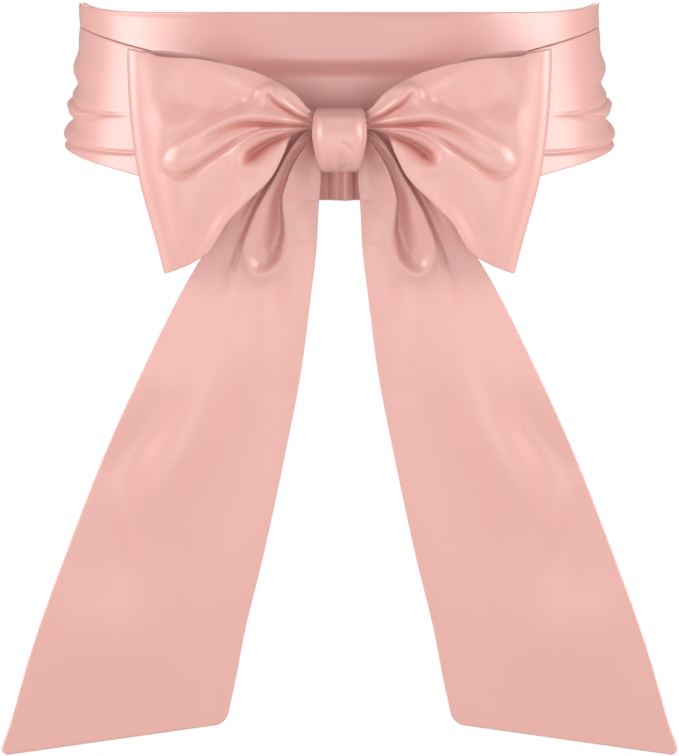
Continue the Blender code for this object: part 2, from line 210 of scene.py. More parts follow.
def grid_normals(points, closed):
    """Cross product of the differences along and across the grid."""
    if closed:
        along = np.roll(points, -1, axis=0) - np.roll(points, 1, axis=0)
    else:
        along = np.gradient(points, axis=0)
    return unit(np.cross(along, np.gradient(points, axis=1)))


def edge_spaced(count, width):
    """Shares from 0 to 1: evenly spaced, with extra rows close to both ends for the rounded rim."""
    rim = np.array(EDGE_ROWS) * EDGE_ROUND / width
    middle = np.linspace(rim[-1], 1 - rim[-1], count)
    return np.concatenate([rim[:-1], middle, 1 - rim[:-1][::-1]])


def rim_thick(from_rim):
    """The wall's thickness as a share of the cloth, at millimetres from the rim: a half circle."""
    inside = np.clip(from_rim / EDGE_ROUND, 0, 1)
    return np.maximum(np.sqrt(1 - (1 - inside) ** 2), THINNEST)


def side_thick(share, width):
    """The same for a strip of that width with a rim on both sides, at a share of its width."""
    return rim_thick(np.minimum(share, 1 - share) * width)


def shell_faces(rows, columns, closed):
    """Quads of the visible side, of the other side and of the rims that join them. The points of
    the other side are numbered after those of the visible side."""
    count = rows * columns
    index = np.arange(count).reshape(rows, columns)
    a, b = (index, np.roll(index, -1, axis=0)) if closed else (index[:-1], index[1:])
    front = np.stack([a[:, :-1], b[:, :-1], b[:, 1:], a[:, 1:]], axis=-1).reshape(-1, 4)
    rims = [np.stack([a[:, 0], a[:, 0] + count, b[:, 0] + count, b[:, 0]], axis=-1),
            np.stack([a[:, -1], b[:, -1], b[:, -1] + count, a[:, -1] + count], axis=-1)]
    if not closed:
        first, last = index[0], index[-1]
        rims += [np.stack([first[:-1], first[1:], first[1:] + count, first[:-1] + count], axis=-1),
                 np.stack([last[:-1], last[:-1] + count, last[1:] + count, last[1:]], axis=-1)]
    return np.concatenate([front, front[:, ::-1] + count] + rims)


def strip_map(plain):
    """Metres along and across the strip at each point, added up over the steps of the smooth form."""
    rows, columns = plain.shape[:2]
    step_u = np.linalg.norm(np.diff(plain, axis=0), axis=-1)
    step_v = np.linalg.norm(np.diff(plain, axis=1), axis=-1)
    u = np.concatenate([np.zeros((1, columns)), np.cumsum(step_u, axis=0)])
    u = np.repeat(u.mean(axis=1, keepdims=True), columns, axis=1)
    v = np.concatenate([np.zeros((rows, 1)), np.cumsum(step_v, axis=1)], axis=1)
    return np.stack([u, v], axis=-1).reshape(-1, 2) * MM


def cloth_shell(name, surface, plain, thick, painted_crease_shade, closed=False, flip=False):
    """A closed shell round a grid of points. surface has the creases and plain is the same grid
    without them. thick is the share of the cloth's thickness at each point. The last array is how many
    millimetres each point lies below the cloth around it: the depth that the satin turns into painted
    shade."""
    normal = grid_normals(plain, closed) * (-1 if flip else 1)
    half = normal * (CLOTH / 2) * thick[..., None]
    points = np.concatenate([surface + half, surface - half]).reshape(-1, 3) * MM
    faces = shell_faces(*surface.shape[:2], closed)
    faces = faces[:, ::-1] if flip else faces
    mesh = bpy.data.meshes.new(name)
    mesh.from_pydata(points.tolist(), [], faces.tolist())
    mesh.update()
    mesh.shade_smooth()
    corners = np.empty(len(mesh.loops), dtype=np.int32)
    mesh.loops.foreach_get("vertex_index", corners)
    flat = strip_map(plain)
    layer = mesh.uv_layers.new(name="strip")
    layer.data.foreach_set("uv", np.concatenate([flat, flat])[corners].ravel())
    # painted shade: the crease depth goes to the visible side as an attribute that darkens the satin's
    # colour
    depth = mesh.attributes.new("painted_crease_shade", "FLOAT", "POINT")
    shown = np.clip(painted_crease_shade / FULL_SHADE_DEPTH, 0, 1).ravel()
    depth.data.foreach_set("value", np.concatenate([shown, np.zeros_like(shown)]))
    obj = bpy.data.objects.new(name, mesh)
    scene.collection.objects.link(obj)
    print(f"{name}: {len(faces) * 2} triangles")
    return obj


def dress(obj, node, flat):
    """Finish a stretch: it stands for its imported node, whose part it hides, and wears the satin."""
    obj.data.materials.append(SATIN)
    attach(obj, "root")
    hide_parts(node)
    shown = sum(face.area for face in obj.data.polygons) / 2
    print(f"{obj.name}: {shown:.4f} square metres show, cut {flat[0] * flat[1]:.4f}")


# %% [markdown]
# ## Shader maths that reads like Python
# A node tree is easier to read as a sum than as boxes and wires. This small class wraps one output
# of a node. Adding, subtracting or multiplying adds a Math node. One method makes any other node.

# %% A socket that takes part in sums
class Wire:
    """One output of a shader node, with + - and * that add Math nodes to its tree."""

    def __init__(self, tree, socket):
        self.tree = tree
        self.socket = socket

    @staticmethod
    def node(tree, kind, settings=None, inputs=None, output=0):
        """Any node: its settings are set first, then its sockets get values or links."""
        made = tree.nodes.new(kind)
        for key, value in (settings or {}).items():
            setattr(made, key, value)
        for key, value in (inputs or {}).items():
            if isinstance(value, Wire):
                tree.links.new(value.socket, made.inputs[key])
            else:
                made.inputs[key].default_value = value
        return Wire(tree, made.outputs[output])

    def maths(self, operation, first, second):
        return Wire.node(self.tree, "ShaderNodeMath", {"operation": operation}, {0: first, 1: second})

    def __add__(self, other):
        return self.maths("ADD", self, other)

    def __radd__(self, other):
        return self.maths("ADD", other, self)

    def __sub__(self, other):
        return self.maths("SUBTRACT", self, other)

    def __rsub__(self, other):
        return self.maths("SUBTRACT", other, self)

    def __mul__(self, other):
        return self.maths("MULTIPLY", self, other)

    def __rmul__(self, other):
        return self.maths("MULTIPLY", other, self)


# %% [markdown]
# ## The satin
# Satin has long floats of thread on its face, so it is smooth and has a soft, wide highlight, and the
# light slides along its folds. Seen close, fine threads run along the strip. The colour is a pale,
# slightly dusty pink. Very faint, wide patches in colour and gloss keep it from looking like paint,
# and a fine bump gives the threads. The threads read the strip's own UV map, so they turn with the
# cloth. Where the cloth lies deep in a crease, the colour is painted darker and a stronger pink:
# painted shade, with the pink of light that bounces from satin to satin. A renderer's few bounces give
# only part of that, so this painted shade follows the attribute of crease depth.

# %% Satin material
PINK = (0.780, 0.412, 0.368, 1.0)
PINK_DEEP = (0.755, 0.388, 0.345, 1.0)
PINK_PAINTED_CREASE_SHADE = (0.620, 0.235, 0.190, 1.0)
THREADS_ALONG = 260.0       # noise cells in a metre along the strip
THREADS_ACROSS = 5200.0     # and across it, one for each group of threads
PATCHES = 28.0              # noise cells in a metre, for the wide patches
PATCHES_TINT = 0.6          # how much patches, threads and the painted shade of a full crease change the colour
THREADS_TINT = 0.25
CREASE_SHADE_STRENGTH = 0.65
GLOSS = 0.69                # a roughness of 0.31, before patches and threads dull it
PATCHES_DULL = 0.06
THREADS_DULL = 0.05
THREADS_RELIEF = 0.0002     # metres
THREADS_RELIEF_SHOWN = 0.06
SHEEN = 0.04
SHEEN_ROUGHNESS = 0.4
SPECULAR = 1.0


def satin_material():
    """Base Color: pink, tinted by patches and threads, and painted darker in a crease as painted
    shade. Roughness: 1 - gloss.
    """
    material = bpy.data.materials.new("satin")
    material.use_nodes = True
    tree = material.node_tree
    shader = tree.nodes["Principled BSDF"]
    strip = Wire.node(tree, "ShaderNodeUVMap", {"uv_map": "strip"})
    stretched = Wire.node(tree, "ShaderNodeMapping", inputs={
        "Vector": strip, "Scale": (THREADS_ALONG, THREADS_ACROSS, 1.0)})
    threads = Wire.node(tree, "ShaderNodeTexNoise", inputs={
        "Vector": stretched, "Scale": 1.0, "Detail": 2.0, "Roughness": 0.5})
    body = Wire.node(tree, "ShaderNodeTexCoord", output="Object")
    patches = Wire.node(tree, "ShaderNodeTexNoise", inputs={
        "Vector": body, "Scale": PATCHES, "Detail": 3.0, "Roughness": 0.45})
    tint = Wire.node(tree, "ShaderNodeMix", {"data_type": "RGBA"}, {
        "Factor": patches * PATCHES_TINT + threads * THREADS_TINT, 6: PINK, 7: PINK_DEEP}, output=2)
    # painted shade: the crease depth attribute darkens the colour towards a deep pink
    painted_shade = Wire.node(tree, "ShaderNodeAttribute", {"attribute_name": "painted_crease_shade"}, output="Fac")
    colour = Wire.node(tree, "ShaderNodeMix", {"data_type": "RGBA"}, {
        "Factor": painted_shade * CREASE_SHADE_STRENGTH, 6: tint, 7: PINK_PAINTED_CREASE_SHADE}, output=2)
    gloss = GLOSS - patches * PATCHES_DULL - threads * THREADS_DULL
    bump = Wire.node(tree, "ShaderNodeBump", inputs={
        "Height": threads, "Strength": THREADS_RELIEF_SHOWN, "Distance": THREADS_RELIEF})
    for name, value in (("Base Color", colour), ("Roughness", 1 - gloss), ("Normal", bump)):
        tree.links.new(value.socket, shader.inputs[name])
    shader.inputs["Sheen Weight"].default_value = SHEEN
    shader.inputs["Sheen Roughness"].default_value = SHEEN_ROUGHNESS
    shader.inputs["Specular IOR Level"].default_value = SPECULAR
    print("satin:", len(tree.nodes), "nodes,", len(tree.links), "links")
    return material


SATIN = satin_material()

# %% [markdown]
# ## The waist
# Both turns of the band follow one rounded outline. It could be an ellipse, but a worn band is
# flatter in front and behind and rounder at the sides, so a superellipse is used.

# %% Waist outline
BAND_AROUND = 360           # columns round the waist
RING_EASE = 0.10            # radians by which the angles shift towards even steps
FRONT_CLEAR = 0.4           # degrees left free beside the front columns


def waist_ring(angle, offset):
    """x = a sin^(2/n), y = -b cos^(2/n), with n the squareness, then moved out along the normal."""
    power = 2 / WAIST_SQUARENESS
    s, c = np.sin(angle), np.cos(angle)
    x = WAIST_HALF_WIDTH * np.sign(s) * np.abs(s) ** power
    y = -WAIST_HALF_DEPTH * np.sign(c) * np.abs(c) ** power
    steep = WAIST_SQUARENESS - 1
    nx = np.sign(x) * np.abs(x / WAIST_HALF_WIDTH) ** steep / WAIST_HALF_WIDTH
    ny = np.sign(y) * np.abs(y / WAIST_HALF_DEPTH) ** steep / WAIST_HALF_DEPTH
    size = np.maximum(np.hypot(nx, ny), TINY)
    return x + offset * nx / size, y + offset * ny / size


def ring_angles(count, front_columns=0):
    """Angles round the waist, eased so that the steps along the outline stay even. Front columns
    replace those at the front centre and have an even x."""
    turn = np.arange(count) * 2 * np.pi / count
    angles = turn + RING_EASE * np.sin(2 * turn)
    if front_columns:
        x = np.linspace(-FRONT_HALF, FRONT_HALF, front_columns)
        front = np.sign(x) * np.arcsin((np.abs(x) / WAIST_HALF_WIDTH) ** (WAIST_SQUARENESS / 2))
        outside = from_front(angles) > np.degrees(front[-1]) + FRONT_CLEAR
        angles = np.sort(np.concatenate([angles[outside], front % (2 * np.pi)]))
    return angles


def from_front(angle):
    """Degrees from the front, the same on both sides."""
    return np.degrees(np.abs((angle + np.pi) % (2 * np.pi) - np.pi))


# angle from the front, upper turn's top, its lower edge, lower turn's top, lower turn's hem
BAND_HEIGHTS = (
    (0, 40.0, -24.0, -11.0, -49.3),
    (8, 40.0, -23.0, -6.0, -49.0),
    (16, 40.0, -21.0, 4.0, -48.2),
    (25, 40.0, -19.0, 12.5, -45.8),
    (38, 40.0, -18.0, 19.6, -40.8),
    (48, 40.2, -17.0, 23.4, -36.6),
    (62, 41.4, -15.0, 27.9, -32.3),
    (78, 43.9, -13.0, 31.9, -28.1),
    (90, 45.4, -12.0, 33.5, -25.8),
    (110, 42.0, -12.0, 33.0, -24.6),
    (130, 39.9, -13.0, 31.5, -25.0),
    (155, 38.7, -14.0, 30.0, -26.5),
    (180, 38.3, -14.0, 29.5, -27.0),
)
ring = np.array(waist_ring(ring_angles(BAND_AROUND), 0.0))
print("round the waist:", round(np.hypot(*(ring - np.roll(ring, 1, axis=1))).sum()), "mm")

# %% [markdown]
# ## The first turn
# The upper turn shows above the bow. It is smooth, and it dips in above the knot, where the bow pulls
# on it. There its colour is painted darker, as painted shade. It goes on under the second turn, which
# presses it in a little.

# %% Upper turn of the band
UPPER_CELLS = (34, 8, 12)   # rows above the tuck, across it and below it
FINE_ABOVE = 0.7            # the tuck's rows start so far above the lower turn's edge
FINE_BELOW = 0.15           # and end so far below it
TUCK_FROM, TUCK_FULL = -0.6, 0.1   # millimetres below that edge
FRONT_STEP = 4.8            # how far the turn steps in above the knot
FRONT_STEP_HALF_WIDTH = 17.0    # degrees
FRONT_STEP_HEIGHTS = (18.5, 9.0)   # where the step starts, and where it is full
FRONT_PAINTED_SHADE = 0.25          # share of a full crease's painted shade, painted above the knot where the bow shades the band
FRONT_PAINTED_SHADE_HEIGHTS = (16.0, 11.0)
TOP_CALM, EDGE_CALM = 3.0, 6.0     # millimetres from the edges over which the drift fades
# height out of the cloth, waves round the waist, phase, level, reach in height
DRIFT_WAVES = (
    (0.35, 3, 0.6, 10.0, 16.0),
    (0.25, 7, 2.0, 0.0, 11.0),
)


def upper_turn():
    """Height z runs from the top edge to the lower edge. The offset from the waist outline is a
    step inwards above the knot, at least the tuck where the lower turn lies over it. Drift is a
    sum of out * sin(waves * angle + phase) * sin((z - level) / reach)."""
    angle = ring_angles(BAND_AROUND)[:, None]
    turn = from_front(angle)
    heights = smooth_table(BAND_HEIGHTS, turn)
    top, low, edge = heights[..., 0], heights[..., 1], heights[..., 2]
    rim = top - (np.array(EDGE_ROWS[:-1]) * EDGE_ROUND)[None, :]
    levels = (top - EDGE_ROUND, edge + FINE_ABOVE, edge - FINE_BELOW, low)
    runs = [a + (b - a) * np.arange(n) / n for a, b, n in zip(levels, levels[1:], UPPER_CELLS)]
    z = np.concatenate([rim] + runs + [low], axis=1)
    at_front = np.exp(-((turn / FRONT_STEP_HALF_WIDTH) ** 2))
    step_top, step_full = FRONT_STEP_HEIGHTS
    step = -FRONT_STEP * at_front * smooth_step(-step_top, -step_full, -z)
    tuck = -UPPER_TUCK * smooth_step(TUCK_FROM, TUCK_FULL, edge - z)
    drift = sum(out * np.sin(angle * waves + phase) * np.sin((z - level) / reach)
                for out, waves, phase, level, reach in DRIFT_WAVES)
    seated = smooth_step(0, TOP_CALM, top - z) * smooth_step(0, EDGE_CALM, z - edge)
    x, y = waist_ring(angle + 0 * z, np.minimum(step, tuck) + drift * seated)
    plain_x, plain_y = waist_ring(angle + 0 * z, 0 * z)
    surface = np.stack([x, y, z], axis=-1)
    plain = np.stack([plain_x, plain_y, z], axis=-1)
    shade_top, shade_full = FRONT_PAINTED_SHADE_HEIGHTS
    # painted shade above the knot, where the bow shades the band
    painted_crease_shade = FRONT_PAINTED_SHADE * at_front * smooth_step(-shade_top, -shade_full, -z) * FULL_SHADE_DEPTH
    return surface, plain, rim_thick(top - z), painted_crease_shade


upper = cloth_shell("sash_upper_turn", *upper_turn(), closed=True)
dress(upper, "band_upper_turn", (0.066, 0.72))

# %% [markdown]
# ## The second turn
# The lower turn lies over the first and flares a little. Because the strip is wider than the space
# it has, it is gathered into soft rolls that run round the waist. A crease between two rolls is
# sharp at the sides and fades towards the front and the back.

# %% Lower turn of the band
# place down the turn, half width, height out of the cloth
LOWER_ROLLS = (
    (0.20, 0.07, -0.7),
    (0.34, 0.07, 0.8),
    (0.48, 0.07, -2.5),
    (0.64, 0.05, 1.6),
    (0.78, 0.045, -1.6),
    (0.89, 0.05, 1.2),
)

# Creases at both sides, as strokes: 2 mm round the waist for each degree from the front, then
# height, half width above, half width below, height out of the cloth
ROUND_SCALE = 2
SIDE_FOLDS = (
    # the upper crease, below a roll that hangs over it
    ((96, -9.3, 0.8, 0.8, -0.1), (106, -9.2, 0.8, 1.0, -0.6), (113, -9.1, 0.8, 1.1, -0.9),
     (125, -8.2, 0.8, 1.2, -1.1), (141, -6.8, 0.9, 1.3, -1.2), (156, -4.6, 1.1, 1.4, -1.4),
     (172, -2.8, 1.6, 1.4, -1.5), (195, -2.0, 2.0, 1.4, -1.3), (230, -3.4, 2.4, 1.6, -0.6)),
    # the lower one, which runs into it, and a short one below
    ((106, -9.6, 0.6, 0.7, -0.1), (120, -9.9, 0.6, 0.8, -0.45), (142, -10.8, 0.7, 0.9, -0.6),
     (165, -12.0, 1.0, 1.4, -1.2), (190, -12.6, 1.2, 1.8, -1.5), (220, -11.4, 1.4, 2.0, -1.0),
     (250, -9.6, 1.8, 2.2, -0.2)),
    ((113, -10.9, 0.6, 0.7, -0.1), (124, -11.6, 0.6, 0.7, -0.4), (137, -12.5, 0.6, 0.7, -0.4),
     (150, -13.6, 0.6, 0.7, -0.1)),
    # the crease above the hem's roll
    ((84, -27.4, 0.8, 0.8, -0.6), (94, -27.5, 0.8, 0.9, -1.0), (111, -27.0, 0.8, 1.0, -1.2),
     (130, -25.9, 0.9, 1.1, -1.3), (156, -24.7, 1.2, 1.2, -1.5), (180, -22.9, 1.8, 1.2, -1.7),
     (215, -20.6, 2.2, 1.2, -1.4), (250, -19.4, 2.2, 1.6, -0.6), (280, -19.2, 2.4, 2.0, -0.1)),
)

# Creases across the back, with the degrees counted all the way round from the front
BACK_FOLDS = (
    ((236, 14.0, 3.0, 1.6, -0.2), (280, 12.4, 3.0, 1.4, -1.2), (330, 9.0, 3.0, 1.2, -1.7),
     (384, 6.2, 3.0, 1.2, -1.5), (440, 6.8, 3.0, 1.6, -0.3)),
    ((300, -6.0, 2.0, 1.6, -0.2), (344, -3.6, 2.4, 1.2, -1.3), (392, -3.4, 2.4, 1.2, -1.6),
     (446, -6.4, 2.4, 1.4, -1.2), (490, -9.0, 2.4, 1.8, -0.2)),
    ((262, -14.6, 2.0, 1.6, -0.2), (306, -16.6, 2.0, 1.0, -1.2), (356, -17.0, 2.0, 1.0, -1.4),
     (410, -15.2, 2.0, 1.2, -0.9), (450, -14.6, 2.0, 1.6, -0.1)),
    ((372, 18.4, 2.0, 2.0, -0.2), (410, 19.2, 2.4, 1.4, -0.9), (452, 17.4, 2.4, 1.4, -0.8),
     (488, 15.0, 2.4, 2.0, -0.1)),
)
LOWER_CELLS = 108
LOWER_FRONT_COLUMNS = 70

# Upright pleats under the knot: place to the right of the middle, half width, height
PLEATS = (
    (-6.2, 2.6, -2.4),
    (-1.2, 0.9, 0.6),
    (0.4, 0.5, -1.2),
    (3.0, 1.9, 4.6),
    (8.0, 1.8, -2.0),
)
PLEATS_FROM, PLEATS_FULL = 27, 34  # millimetres below the origin
PLEATS_WITHIN = 60          # degrees from the front
LOWER_WIDTH = 60.0          # from edge to edge at the sides
LOWER_FRONT = 30.0          # degrees, half width of the stretch behind the bow
FRONT_FLARE_LOST = 0.55     # share of the flare that the bow takes away there
ROLLS_FROM, ROLLS_FULL = 58, 86    # degrees from the front
ROLLS_FADE, ROLLS_FADED = 100, 150
ROLLS_LOST = 0.6            # share of the rolls that is gone at the back
CREASE_STOP = 0.1           # how far a crease may go inside the waist outline
CALM_EDGE = 0.04            # share of the height over which creases set in at the top
LOWER_AROUND = (3, 5)       # cells round a point whose mean tells how deep it lies, for the painted crease shade


def lower_turn():
    """Height runs from the drawn-down top edge to the hem. The offset from the waist outline is
    the flare plus soft rolls at the sides and back, plus the relief of creases and pleats. A pleat
    is out * exp(-((x - place) / half width)^2), fading upwards."""
    angle = ring_angles(BAND_AROUND, LOWER_FRONT_COLUMNS)[:, None]
    down = edge_spaced(LOWER_CELLS, LOWER_WIDTH)[None, :]
    turn = from_front(angle)
    heights = smooth_table(BAND_HEIGHTS, turn)
    top, low = heights[..., 2], heights[..., 3]
    z = top + (low - top) * down
    at_front = np.exp(-((turn / LOWER_FRONT) ** 2))
    at_side = smooth_step(ROLLS_FROM, ROLLS_FULL, turn)
    at_side = at_side * (1 - ROLLS_LOST * smooth_step(ROLLS_FADE, ROLLS_FADED, turn))
    rolls = sum(out * np.exp(-(((down - place) / width) ** 2)) for place, width, out in LOWER_ROLLS)
    offset = LOWER_FLARE * down * (1 - FRONT_FLARE_LOST * at_front) + rolls * at_side
    offset = np.maximum(offset, 0) + CLOTH + SEAT_GAP - UPPER_TUCK
    aside = ROUND_SCALE * turn + 0 * z
    around = np.degrees(angle) % 360 * ROUND_SCALE + 0 * z
    creases = fold_relief(SIDE_FOLDS, aside, z) + fold_relief(BACK_FOLDS, around, z)
    plain_x, plain_y = waist_ring(angle + 0 * z, offset)
    under_knot = smooth_step(PLEATS_FROM, PLEATS_FULL, -z) * (turn < PLEATS_WITHIN)
    pleats = sum(out * np.exp(-(((plain_x - place) / half) ** 2)) for place, half, out in PLEATS)
    creases = creases + pleats * under_knot
    creases = np.maximum(creases, -offset - CREASE_STOP) * smooth_step(0, CALM_EDGE, down)
    x, y = waist_ring(angle + 0 * z, offset + creases)
    surface = np.stack([x, y, z], axis=-1)
    plain = np.stack([plain_x, plain_y, z], axis=-1)
    thick = side_thick(down, LOWER_WIDTH) + 0 * z
    # the last array is the crease depth that the satin paints as shade
    return surface, plain, thick, below_around(creases, LOWER_AROUND, closed=True)


lower = cloth_shell("sash_lower_turn", *lower_turn(), closed=True)
dress(lower, "band_lower_turn", (0.068, 0.75))

# %% [markdown]
# ## The bow's loops
# A loop is a flat tube: the strip leaves the knot in front, folds back at the outer end and returns
# behind. Its front view is drawn as sections that fan out from the knot, from the top edge to the
# bottom edge. The front layer has the creases that the knot pulls into it, as strokes.

# %% Loop sections and strokes
# share, top reach, top height, bottom reach, bottom height, middle depth, half gap
LOOP_SECTIONS = (
    (0.00, 4.0, -9.5, 4.0, -14.0, -115.2, 1.9),
    (0.12, 14.1, -5.8, 15.0, -14.3, -116.6, 2.5),
    (0.20, 20.8, 1.5, 22.5, -17.0, -118.6, 4.3),
    (0.30, 30.0, 7.7, 26.5, -26.0, -120.0, 6.2),
    (0.40, 39.5, 12.2, 32.1, -36.9, -120.0, 7.2),
    (0.52, 51.0, 15.5, 42.8, -47.9, -119.5, 7.8),
    (0.64, 62.5, 17.8, 53.0, -58.5, -118.0, 7.6),
    (0.76, 74.0, 19.3, 61.1, -71.6, -115.8, 6.8),
    (0.88, 87.0, 20.8, 70.5, -78.2, -113.2, 5.4),
    (1.00, 99.0, 23.0, 82.1, -82.9, -110.5, 4.2),
)

# Every stroke: rows of reach, height, two half widths, height out of the cloth. On a stroke that
# runs outwards, the first half width is above it and the second one below.
LOOP_FOLDS = (
    # the leaf-shaped fold under the top edge, the slit below it and the hook round its tip
    ((13.0, -9.4, 1.0, 0.8, 0.8), (19, -6.8, 2.2, 1.3, 2.0), (24.5, -3.2, 3.4, 1.8, 2.8),
     (30, 1.4, 3.8, 2.4, 2.4), (34.0, 3.6, 3.4, 2.6, 1.2), (36.5, 4.4, 3, 3, 0.2)),
    ((14.2, -10.4, 0.5, 0.5, -0.5), (18.9, -9.2, 0.6, 0.7, -1.8), (23.8, -6.2, 0.7, 1.0, -2.2),
     (28.6, -2.8, 0.7, 1.1, -1.7), (32.2, 0.8, 0.8, 1.2, -1.1), (33.8, 3.0, 1.0, 1.2, -0.2)),
    ((25, 3.2, 1.5, 2.0, 0.3), (29.5, 5.0, 1.6, 2.2, 0.8), (33.6, 5.4, 1.7, 2.4, 1.1),
     (36.6, 3.0, 1.8, 2.6, 1.3), (37.8, -0.8, 2.2, 3.0, 1.3), (40.4, -4.4, 2.8, 3.2, 0.9),
     (44.5, -7.2, 3.0, 3.0, 0.2)),
    # the long fold: its upper roll, the crease along it and its lower roll
    ((13.5, -11.8, 1.0, 0.8, 0.8), (20, -11.0, 2.0, 1.1, 2.2), (28, -9.4, 3.2, 1.9, 3.2),
     (37, -8.0, 4.6, 2.8, 3.4), (47, -8.8, 4.6, 3.4, 3.0), (57, -12.6, 4.2, 3.6, 2.4),
     (66, -17.8, 4.4, 4.8, 1.5), (74, -24.0, 4.4, 5.8, 0.7)),
    ((13.0, -12.9, 0.5, 0.5, -0.6), (17, -12.9, 0.5, 0.5, -1.2), (24, -13.0, 0.7, 0.7, -2.4),
     (33.5, -12.4, 0.9, 0.9, -3.4), (40, -11.9, 1.2, 1.1, -3.0), (46.3, -12.4, 1.6, 1.3, -2.6),
     (52.6, -14.2, 2.0, 1.6, -2.0), (58.8, -17.4, 2.4, 2.0, -1.3), (64.5, -20.8, 2.6, 2.4, -0.3)),
    ((42, -14.4, 1.4, 1.2, 0.6), (50, -18.4, 2.4, 2.0, 1.2), (60, -24.0, 3.6, 3.2, 1.5),
     (69, -28.8, 4.4, 4.2, 1.4), (75, -31.0, 4.6, 4.6, 0.8)),
    # the hollow that runs round the long fold's tip and back to the knot as a sharp crease
    ((43, 0.6, 4, 2.4, -0.3), (45.8, -0.6, 7, 3.0, -1.4), (49.5, -3.0, 8, 3.2, -2.2),
     (55.4, -6.8, 8, 3.2, -2.4), (62.9, -11.8, 6, 2.8, -2.2), (70.8, -16.4, 4.4, 2.6, -1.8),
     (77.3, -21.0, 3.6, 2.8, -1.3), (81.5, -25.9, 3.0, 3.0, -1.1), (82.7, -30.1, 2.8, 3.0, -1.1),
     (80.6, -33.8, 2.4, 2.8, -1.4), (76.4, -35.9, 2.0, 2.4, -1.7), (72.2, -35.9, 1.9, 2.4, -1.9),
     (67.5, -33.8, 1.7, 2.3, -2.0), (62.9, -30.5, 1.6, 2.2, -1.9), (57.7, -26.8, 1.4, 2.0, -1.8),
     (52.1, -22.9, 1.2, 1.7, -1.7), (46.3, -18.9, 0.9, 1.3, -1.6), (40.9, -15.7, 0.7, 0.9, -1.5),
     (35.3, -13.7, 0.6, 0.7, -1.1), (31, -13.4, 0.6, 0.6, -0.2)),
    # the short fold: the rim that wraps round, then the deep hollow inside it
    ((16, -13.9, 0.8, 0.7, 0.8), (21.3, -14.0, 1.0, 0.9, 2.0), (29.5, -14.2, 1.3, 1.2, 2.8),
     (37.1, -15.6, 1.8, 1.4, 3.0), (43.1, -18.4, 2.6, 1.6, 2.8), (46.9, -22.4, 3.2, 1.7, 2.2),
     (47.8, -26.8, 3.6, 1.7, 1.8), (45.4, -31.0, 3.8, 1.7, 1.3), (40, -32.8, 3.6, 1.8, 0.9),
     (35, -31.4, 3.0, 2.0, 0.2)),
    ((18.4, -15.3, 0.6, 0.7, -0.8), (22.2, -16.4, 0.8, 1.1, -2.4), (27.6, -18.2, 1.2, 1.8, -5.0),
     (33.0, -20.6, 1.7, 2.8, -7.0), (38.0, -23.6, 2.2, 3.4, -8.0), (41.4, -26.4, 2.4, 3.2, -7.2),
     (42.8, -27.8, 2.2, 2.6, -4.4)),
    # the lower edge: a ridge inside it, and the soft hollow that leads down from the short fold
    ((22.6, -20.0, 2.6, 1.4, 0.5), (28, -30.0, 3.2, 1.6, 1.0), (35.4, -40.4, 3.8, 1.8, 1.2),
     (45.8, -50.6, 4.2, 2.0, 1.2), (54.8, -60.6, 4.6, 2.2, 1.2), (62.6, -72, 5, 2.6, 0.8)),
    ((50, -35.0, 6, 6, -0.3), (54.9, -41.0, 7, 7, -1.3), (58.2, -49.2, 8, 7, -1.8),
     (61.5, -58.8, 8, 7, -1.8), (66.0, -68.4, 8, 7, -1.4), (70, -76, 7, 7, -0.6)),
    # the broad roll inside the outer fold
    ((92, 17, 6, 8, 0.8), (89, 6, 7, 11, 2.0), (86, -6, 8, 12, 2.8), (83.5, -20, 8, 12, 2.8),
     (81.5, -34, 8, 12, 2.8), (78.5, -50, 7, 11, 2.4), (75.5, -66, 6, 9, 1.6)),
    # the wide, quiet hollow in the upper half
    ((50, 1.0, 9, 6, -0.4), (60, -1.0, 14, 7, -2.4), (72, -2.0, 15, 8, -3.0), (83, -2.0, 13, 8, -1.4)),
)

LOOP_BACK_FOLDS = (
    ((16, -8, 3, 3, -0.6), (38, 0, 5, 5, -2.0), (64, 6, 8, 8, -0.8)),
    ((18, -12, 2, 2, 0.8), (42, -20, 4, 4, 2.2), (70, -32, 8, 8, 0.8)),
    ((20, -16, 2, 2, -0.6), (36, -34, 4, 4, -2.0), (54, -56, 7, 7, -1.0)),
    ((90, 10, 6, 6, 0.6), (82, -26, 8, 8, 1.2), (74, -66, 8, 8, 0.8)),
)

# %% [markdown]
# The loop's own grid starts at the front root, runs out, goes round the outer fold and comes back
# behind. A half circle joins the two layers, so the fold is round and not sharp.

# %% Loop form
LOOP_FRONT_ROWS = 176
LOOP_NOSE_ROWS = 16
LOOP_BACK_ROWS = 54
LOOP_CROSS_ROWS = 144
LOOP_ROW_POWER = 0.9        # below 1: the rows stand closer towards the outer fold
LOOP_LENGTH = 100.0         # from the middle to the outer fold
BOW_WIDTH = 90.0            # of loops and tails from edge to edge, for the edges' rounding
LOOP_END_DEPTH = 0.25       # share of the gap between the layers that is lost at both edges
LOOP_AROUND = (6, 6)
# shares of the loop's length where each starts, is full, fades and ends
LOOP_CREASES_AT = (0.02, 0.09, 0.83, 0.99)
BACK_RISE_AT = (0.5, 0.64, 0.84, 0.95)
FRONT_DIP_AT = (0.68, 0.82, 0.86, 0.90)
# shares of the loop's length where painted crease shade sets in on the front layer, and where it is
# full
LOOP_SHADE_FROM, LOOP_SHADE_FULL = 0.1, 0.24
LOWER_BOW_FROM, LOWER_BOW_FULL = 0.5, 1.0      # shares of the way from top to bottom


